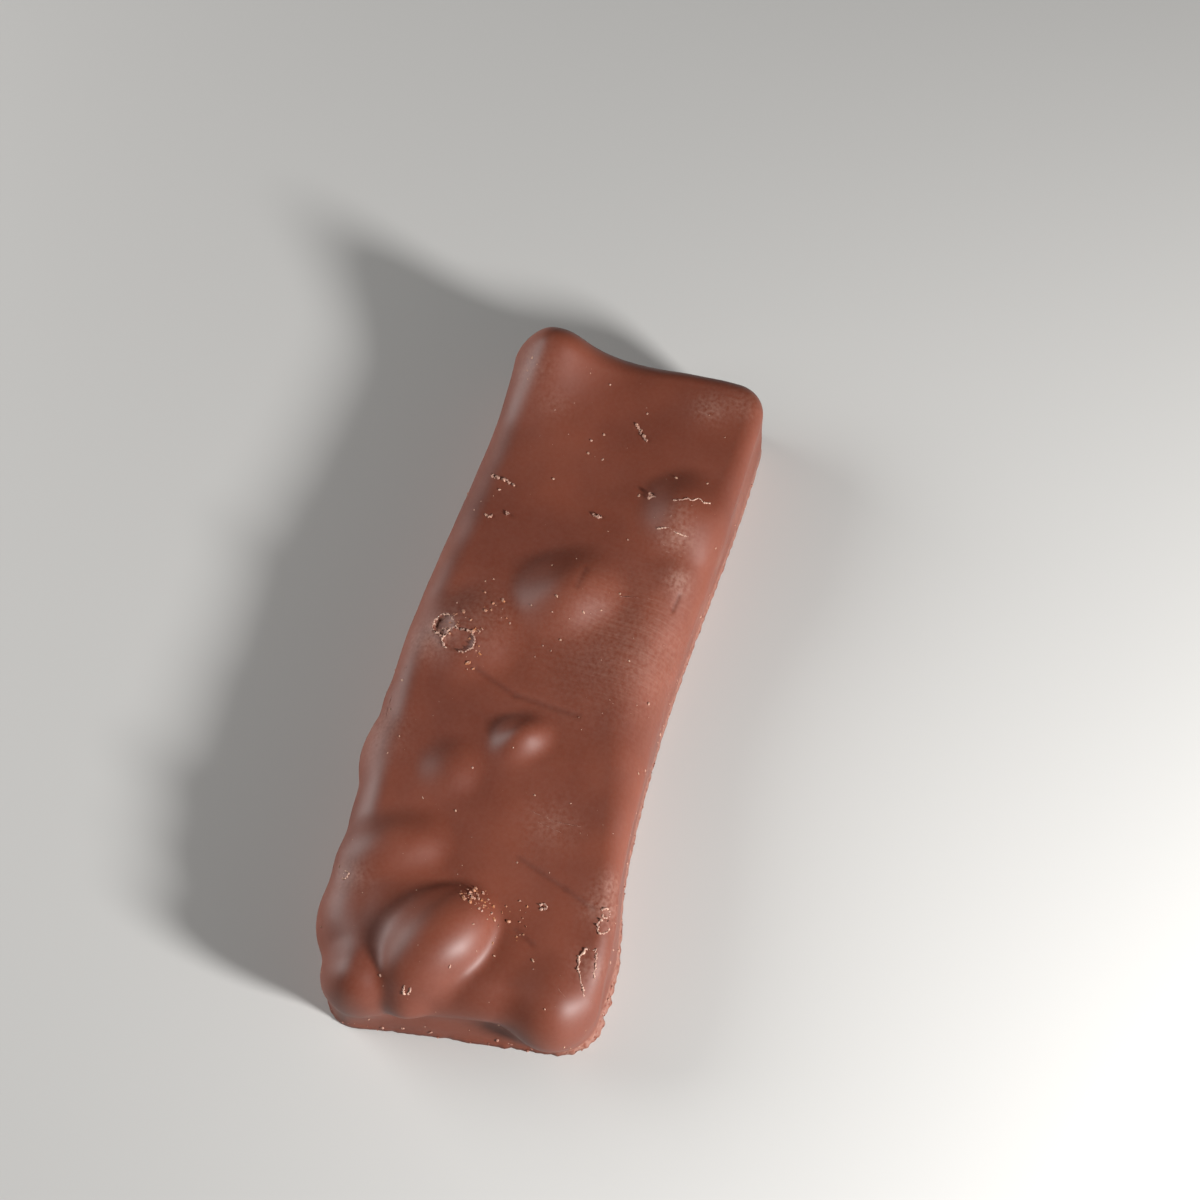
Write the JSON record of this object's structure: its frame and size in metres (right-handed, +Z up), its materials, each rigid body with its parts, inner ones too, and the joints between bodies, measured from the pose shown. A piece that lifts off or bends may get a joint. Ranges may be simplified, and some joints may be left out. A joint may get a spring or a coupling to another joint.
{
  "type": "chocolate bar",
  "caption": "Flat-based chocolate bar, slightly bowed, its coat swollen into soft lumps over whole nuts.",
  "frame": {"origin": "on the base, under the middle of the bar's box", "axes": "+X along the bar, from its crowded slanted end to its square end with one corner lump; +Z up from the base"},
  "size_m": [0.1002, 0.0396, 0.0181],
  "materials": {
    "milk_chocolate": "milk chocolate, soft uneven satin gloss, with pale scuffs and specks"
  },
  "bodies": {
    "root": {"chocolate_bar": "milk_chocolate"}
  },
  "joints": []
}
